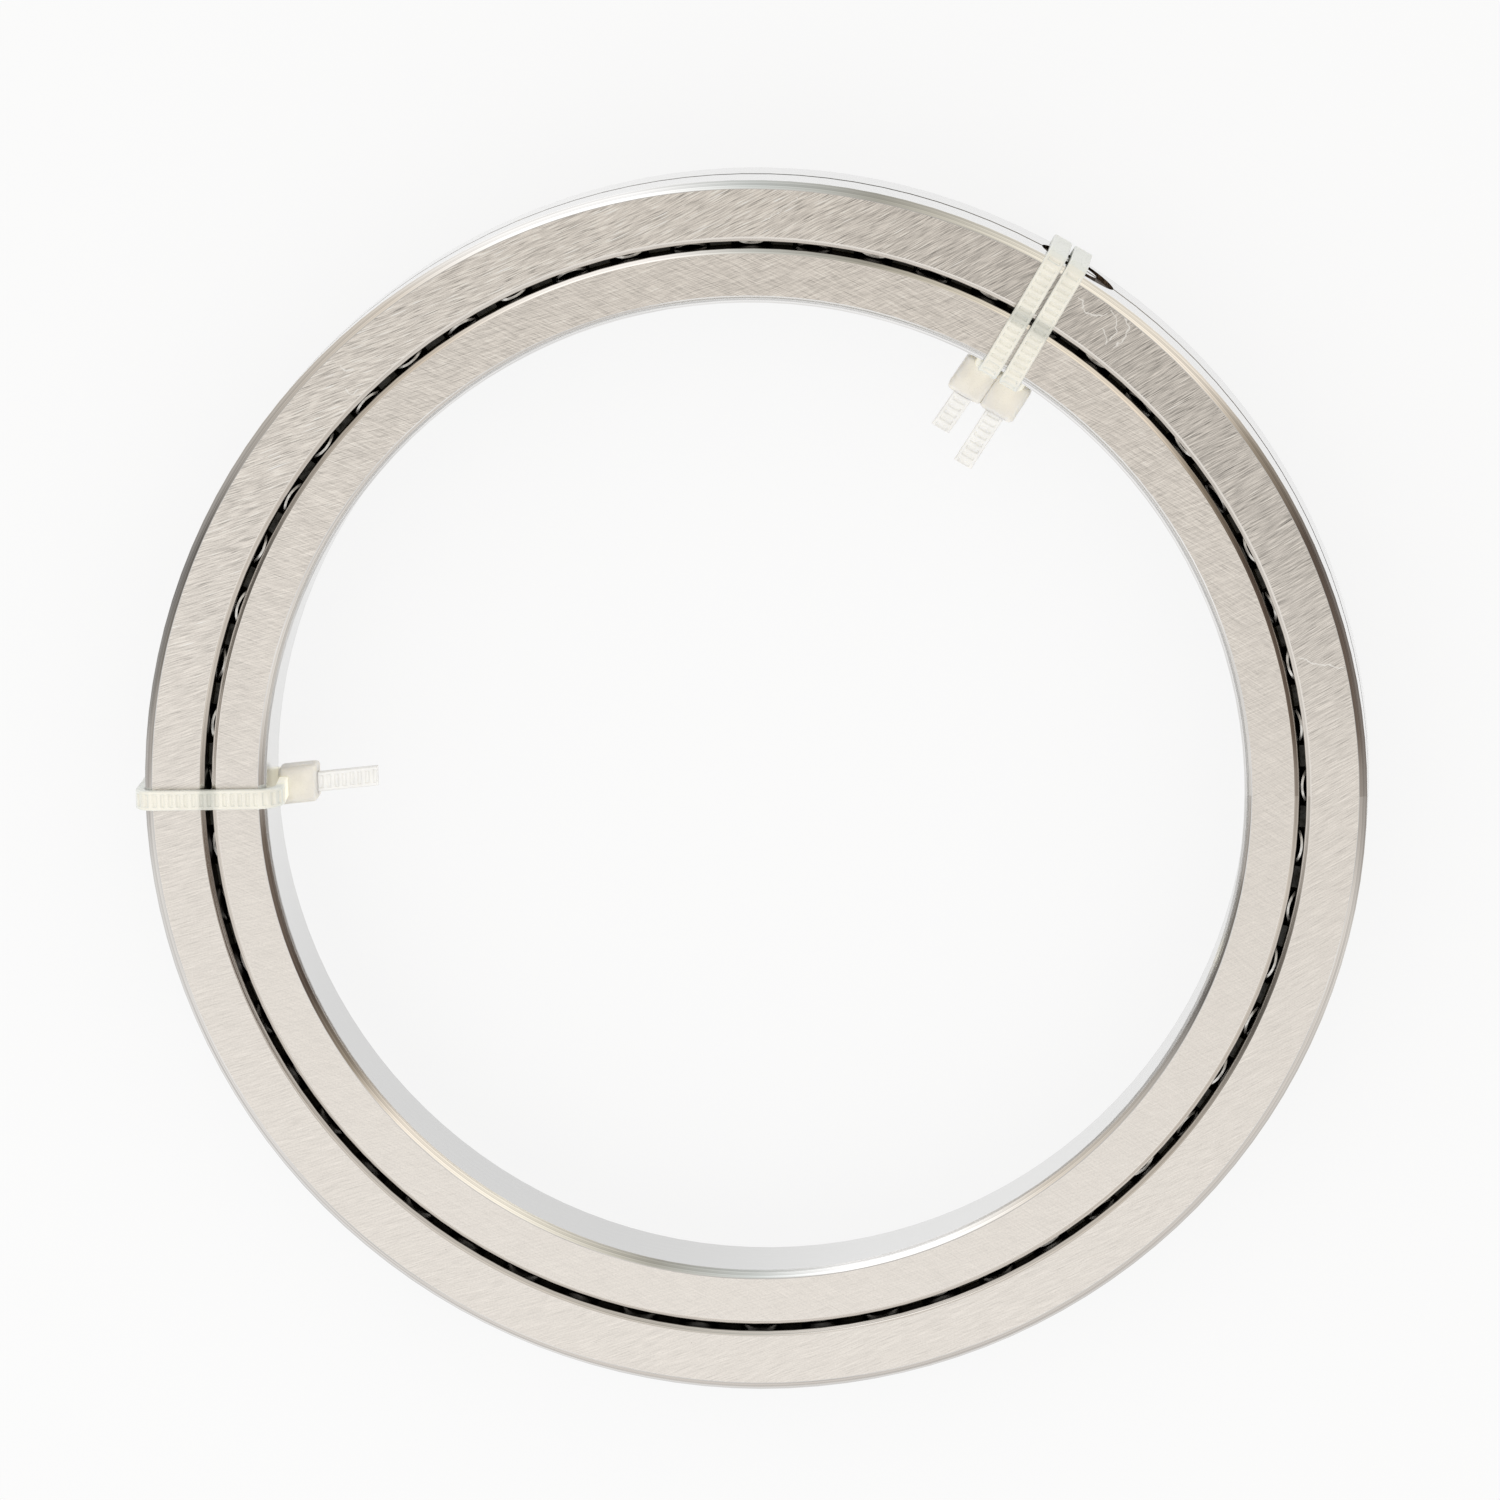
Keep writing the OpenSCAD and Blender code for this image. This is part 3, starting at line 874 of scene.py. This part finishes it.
class Tie:
    """One nylon tie round the section of both rings, with its head in the bore."""

    def __init__(self, sizes, turn_deg, shift, head_shift, tail_length, tail_skew, slack, plain_from):
        self.sizes = sizes
        self.shift = shift
        self.slack = slack
        self.plain_from = plain_from
        self.outward = heading(math.radians(turn_deg))
        self.sideways = Vector((-self.outward.y, self.outward.x, 0))
        self.head_shift = head_shift
        self.tail_skew = tail_skew
        self.head_start = sizes.head_gap
        self.head_end = sizes.head_gap + sizes.head_length
        self.tail_end = self.head_end + tail_length

    def point(self, inward, side, rise):
        """A place given by its distance inward from the bore, sideways and up."""
        return self.outward * (BORE_R - inward) + self.sideways * (self.shift + side) + Vector((0, 0, rise))

    def side_at(self, inward, rise):
        """How far the strap has moved sideways here: not at all on the faces, and all the way at the head."""
        level = min(max((HALF_WIDTH - abs(rise)) / (HALF_WIDTH - self.sizes.slot_height), 0), 1)
        in_bore = 1 if inward > 0 else 0
        shift = self.head_shift * level * level * (3 - 2 * level) * in_bore
        return shift + self.tail_skew * max(inward - self.head_start, 0)

    def strap_route(self):
        sizes = self.sizes
        stand_off = sizes.clearance + sizes.strap_thickness / 2
        inner, outer = stand_off + self.slack, BORE_R - OUTER_R - stand_off
        top = HALF_WIDTH + stand_off
        bore_bend = sizes.bend_r + sizes.bend_more * self.slack
        slot = sizes.slot_height
        root = -slot - sizes.strap_thickness
        root_end = (self.head_start + self.head_end) / 2
        return rounded_route([((self.tail_end, slot), 0), ((inner, slot), sizes.head_bend_r),
                              ((inner, top), bore_bend), ((outer, top), sizes.bend_r),
                              ((outer, -top), sizes.bend_r), ((inner, -top), bore_bend),
                              ((inner, root), sizes.head_bend_r), ((root_end, root), 0)])

    def strap_section(self, hollow):
        """Outline of the strap, across and out, with its hollow between the rails."""
        sizes = self.sizes
        half, out = sizes.strap_width / 2, sizes.strap_thickness / 2
        cut = 0.12 * MM
        slope = 0.06 * MM
        rail = half - sizes.rail_width
        side = [(half, cut - out), (half, out - cut), (half - cut, out), (rail + slope, out),
                (rail - slope, out - hollow)]
        under = [(half - cut, -out)]
        mirror = [(-across, height) for across, height in reversed(under + side)]
        return side + mirror[:-1] + [(cut - half, -out)] + under

    def add_strap(self, mesh):
        sizes = self.sizes
        at, total = along_route(self.strap_route())
        stations = [(0.0, 0.0)]
        rungs = int(min(total, self.plain_from) / sizes.rung_pitch)
        for rung in range(rungs):
            for step, depth in RUNG:
                stations.append(((rung + step) * sizes.rung_pitch, depth * sizes.rung_depth))
        plain = total - rungs * sizes.rung_pitch
        bits = int(plain / sizes.rung_pitch)
        for bit in range(bits):
            stations.append((total - plain * (1 - (bit + 0.5) / bits), 0.0))
        stations.append((total, 0.0))
        rings = []
        for distance, hollow in stations:
            (inward, rise), (run_in, run_up) = at(distance)
            side = self.side_at(inward, rise)
            rings.append([self.point(inward + run_up * out, side + across, rise - run_in * out)
                          for across, out in self.strap_section(hollow)])
        tail_start = self.head_end - 0.5 * MM
        for face in bridge(mesh, rings, STRAP):
            inward = BORE_R - self.outward.dot(face.calc_center_median())
            if inward > tail_start:
                face.material_index = TAIL

    def add_head(self, mesh):
        """A block with round edges and a slot that the tail comes out of."""
        sizes = self.sizes
        slot_room = 0.3 * MM
        slot_depth = 0.8 * MM
        slot_round = 0.12 * MM
        least_round = 0.15 * MM
        steps = 5

        def outline(inward, width, height, radius, level):
            shift = self.head_shift + self.tail_skew * max(inward - self.head_start, 0)
            return [self.point(inward, shift + across, level + rise)
                    for across, rise in rounded_box_ring(width, height, radius)]

        edge = []
        for step in range(steps + 1):
            turn = math.radians(90 * step / steps)
            edge.append((sizes.head_round * (1 - math.cos(turn)), sizes.head_round * (1 - math.sin(turn))))
        profile = [(self.head_start + depth, inset) for depth, inset in edge]
        profile += [(self.head_end - depth, inset) for depth, inset in reversed(edge)]
        rings = [outline(inward, sizes.head_width - 2 * inset, sizes.head_height - 2 * inset,
                         max(sizes.head_round - inset, least_round), 0) for inward, inset in profile]
        width, height = sizes.strap_width + slot_room, sizes.strap_thickness + slot_room
        rings += [outline(inward, width, height, slot_round, sizes.slot_height)
                  for inward in (self.head_end, self.head_end - slot_depth)]
        bridge(mesh, rings, HEAD)


# The ties: place round the bearing in degrees, shift of the whole tie sideways, further shift of the head,
# the tail's length and lean, the strap's slack in the bore, and how far from the tail's end the rungs stop
TIES = (
    ("nylon_tie_1", 59.75, 1.42 * MM, 0.72 * MM, 4.9 * MM, 0.070, 0.25 * MM, 33 * MM),
    ("nylon_tie_2", 59.75, -1.42 * MM, -0.80 * MM, 7.3 * MM, 0.036, 0.25 * MM, 35 * MM),
    ("nylon_tie_3", 181.5, 0.0, -0.4 * MM, 7.4 * MM, -0.090, 0.95 * MM, 60 * MM),
)


class BEARING_OT_inner_ring(bpy.types.Operator):
    """Finish the inner ring as ground steel with a crossed lay"""

    bl_idname = "bearing.inner_ring"
    bl_label = "Finish inner ring"

    def execute(self, context):
        finish = context.scene.bearing_rings
        corner, gap = finish.corner_chamfer, finish.gap_chamfer
        low = (BORE_R + corner / 2, corner)
        high = (INNER_LAND_R - gap / 2, gap)
        dress("inner_ring", ring_material("inner_ring_steel", finish, low, high, crossed=True))
        return {"FINISHED"}


class BEARING_OT_outer_ring(bpy.types.Operator):
    """Finish both halves of the outer ring, with the clamp rings in their grooves"""

    bl_idname = "bearing.outer_ring"
    bl_label = "Finish outer ring halves"

    def execute(self, context):
        finish = context.scene.bearing_rings
        corner, gap = finish.corner_chamfer, finish.gap_chamfer
        low = (INNER_LAND_R + finish.ring_gap + gap / 2, gap)
        high = (OUTER_R - corner / 2, corner)
        for name in OUTER_HALVES:
            setup = context.scene.bearing_stage if name == "outer_ring_front" else None
            dress(name, ring_material(name + "_steel", finish, low, high, crossed=False, setup=setup))
        return {"FINISHED"}


class BEARING_OT_rollers(bpy.types.Operator):
    """Finish the rollers as polished steel with oil on it"""

    bl_idname = "bearing.rollers"
    bl_label = "Finish rollers"

    def execute(self, context):
        material = roller_material(context.scene.bearing_rollers)
        for name in ROLLERS:
            dress(name, material)
        return {"FINISHED"}


class BEARING_OT_spacers(bpy.types.Operator):
    """Finish the spacers as dark resin"""

    bl_idname = "bearing.spacers"
    bl_label = "Finish spacers"

    def execute(self, context):
        dress("spacers", spacer_material(context.scene.bearing_rollers))
        return {"FINISHED"}


class BEARING_OT_ties(bpy.types.Operator):
    """Add the nylon ties that hold the rings together in transit"""

    bl_idname = "bearing.ties"
    bl_label = "Add transit ties"

    def execute(self, context):
        sizes = context.scene.bearing_ties
        gap = context.scene.bearing_rings.ring_gap
        strap = strap_material(sizes, gap)
        head, _, _ = nylon_material("tie_head_nylon", sizes.head_colour, 0.0, sizes.head_milky)
        tail, _, _ = nylon_material("tie_tail_nylon", sizes.tail_colour, 0.0, sizes.strap_milky)
        for name, *layout in TIES:
            tie = Tie(sizes, *layout)
            mesh = bmesh.new()
            tie.add_strap(mesh)
            tie.add_head(mesh)
            bmesh.ops.recalc_face_normals(mesh, faces=mesh.faces)
            data = bpy.data.meshes.new(name)
            mesh.to_mesh(data)
            mesh.free()
            for material in (strap, head, tail):
                data.materials.append(material)
            piece = add_object(context, name, data)
            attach(piece, "outer_ring")
        return {"FINISHED"}


def add_camera(context, setup):
    """The camera, at the photograph's viewing angle."""
    data = bpy.data.cameras.new("camera")
    data.sensor_width = SENSOR
    data.lens = setup.camera_lens
    camera = add_object(context, "camera", data)
    turn = Matrix(camera_axes(setup)).transposed()
    camera.matrix_world = Matrix.LocRotScale(Vector(setup.camera_place), turn.to_quaternion(), None)
    context.scene.camera = camera


def add_sheet(context, name, size, height, material):
    """A flat square of the stage."""
    half = size / 2
    data = bpy.data.meshes.new(name)
    corners = [(-half, -half, 0), (half, -half, 0), (half, half, 0), (-half, half, 0)]
    data.from_pydata(corners, [], [(0, 1, 2, 3)])
    data.materials.append(material)
    sheet = add_object(context, name, data)
    sheet.location.z = height
    return sheet


def floor_material(setup):
    """Pale floor that keeps a faint shadow; further out, the steel mirrors the studio in its place."""
    material, graph, shader = new_material("floor")
    graph.fill(shader, {"Base Color": setup.floor_colour, "Roughness": 0.8})
    rays = graph.node("LightPath").outputs
    mirrored = graph.math("MAXIMUM", rays["Is Glossy Ray"], rays["Is Transmission Ray"])
    seen = graph.math("MAXIMUM", rays["Is Camera Ray"], mirrored)
    here = graph.here()
    far = graph.ramp(graph.measure("LENGTH", here), setup.floor_near, setup.floor_far)
    studio = graph.group("Studio horizon", Direction=here)["Tone"]
    tone = graph.mix(graph.times(rays["Is Glossy Ray"], far), setup.floor_colour, studio)
    glow = graph.node("Emission", {"Color": tone, "Strength": 1.0}).outputs["Emission"]
    shaders = {0: graph.times(seen, setup.floor_glow), 1: shader.outputs["BSDF"], 2: glow}
    both = graph.node("MixShader", shaders).outputs["Shader"]
    graph.fill(graph.tree.nodes["Material Output"], {"Surface": both})
    return material


def softbox_material(setup):
    """Soft overhead light that is brighter on one side."""
    material = bpy.data.materials.new("softbox")
    graph = empty_graph(material)
    way = graph.measure("DOT_PRODUCT", graph.here(), heading(setup.softbox_turn))
    level = graph.ramp(way, setup.softbox_start, setup.softbox_end)
    light = graph.mix(level, setup.softbox_dim, setup.softbox_bright)
    glow = graph.node("Emission", {"Color": light, "Strength": 1.0})
    graph.node("OutputMaterial", {"Surface": glow.outputs["Emission"]})
    return material


# How the room's edge leans, and how wide it is
SKY_LEAN = (-0.2, -0.5, 1.0)
SKY_EDGE = (0.50, 0.62)


def add_world(context, setup):
    """A bright room with dark and light stands round the horizon; the backdrop is as pale as the floor."""
    world = bpy.data.worlds.new("studio")
    context.scene.world = world
    graph = empty_graph(world)
    way = graph.node("TexCoord").outputs["Generated"]
    horizon = graph.group("Studio horizon", Direction=way)["Tone"]
    sky = graph.ramp(graph.measure("DOT_PRODUCT", way, SKY_LEAN), *SKY_EDGE)
    room = graph.mix(sky, horizon, setup.sky_colour)
    rays = graph.node("LightPath").outputs
    seen = graph.math("MAXIMUM", rays["Is Camera Ray"], rays["Is Transmission Ray"])
    tone = graph.mix(seen, room, setup.floor_colour)
    back = graph.node("Background", {"Color": tone, "Strength": 1.0})
    graph.node("OutputWorld", {"Surface": back.outputs["Background"]})


def add_fill(context, setup):
    """A large soft lamp that lights the nylon and the floor; the steel doesn't mirror it."""
    data = bpy.data.lights.new("fill", "AREA")
    data.size = setup.fill_size
    data.energy = setup.fill_power
    lamp = add_object(context, "fill", data)
    lamp.location.z = setup.fill_height
    lamp.visible_glossy = False
    lamp.visible_transmission = False
    lamp.visible_camera = False


class BEARING_OT_stage(bpy.types.Operator):
    """Set up the camera, the pale floor and the soft light"""

    bl_idname = "bearing.stage"
    bl_label = "Set the stage"

    def execute(self, context):
        setup, sizes = context.scene.bearing_stage, context.scene.bearing_ties
        context.scene.view_settings.view_transform = "Standard"
        add_camera(context, setup)
        under_ties = -HALF_WIDTH - sizes.clearance - sizes.strap_thickness
        add_sheet(context, "floor", setup.floor_size, under_ties, floor_material(setup))
        light = softbox_material(setup)
        softbox = add_sheet(context, "softbox", setup.softbox_size, setup.softbox_height, light)
        softbox.visible_camera = False
        add_fill(context, setup)
        add_world(context, setup)
        return {"FINISHED"}


class BEARING_PT_panel(bpy.types.Panel):
    """Lists the pieces of the bearing and their settings"""

    bl_idname = "BEARING_PT_panel"
    bl_label = "Crossed roller bearing"
    bl_space_type = "VIEW_3D"
    bl_region_type = "UI"
    bl_category = "Bearing"

    def draw(self, context):
        layout = self.layout
        for operator in OPERATORS:
            layout.operator(operator.bl_idname)
        for name in SETTINGS:
            settings = getattr(context.scene, name)
            column = layout.column(heading=name)
            for key in settings.__annotations__:
                column.prop(settings, key)


OPERATORS = (BEARING_OT_stage, BEARING_OT_inner_ring, BEARING_OT_outer_ring, BEARING_OT_rollers,
             BEARING_OT_spacers, BEARING_OT_ties)
SETTINGS = {
    "bearing_rings": RingFinish,
    "bearing_rollers": RollerFinish,
    "bearing_ties": TieSizes,
    "bearing_stage": StageSetup,
}
CLASSES = (*SETTINGS.values(), *OPERATORS, BEARING_PT_panel)


def register():
    for made in CLASSES:
        bpy.utils.register_class(made)
    for name, group in SETTINGS.items():
        setattr(bpy.types.Scene, name, PointerProperty(type=group))


def unregister():
    for name in SETTINGS:
        delattr(bpy.types.Scene, name)
    for made in reversed(CLASSES):
        bpy.utils.unregister_class(made)


def main():
    register()
    make_groups()
    bpy.ops.bearing.stage()
    bpy.ops.bearing.inner_ring()
    bpy.ops.bearing.outer_ring()
    bpy.ops.bearing.rollers()
    bpy.ops.bearing.spacers()
    bpy.ops.bearing.ties()


if __name__ == "__main__":
    main()
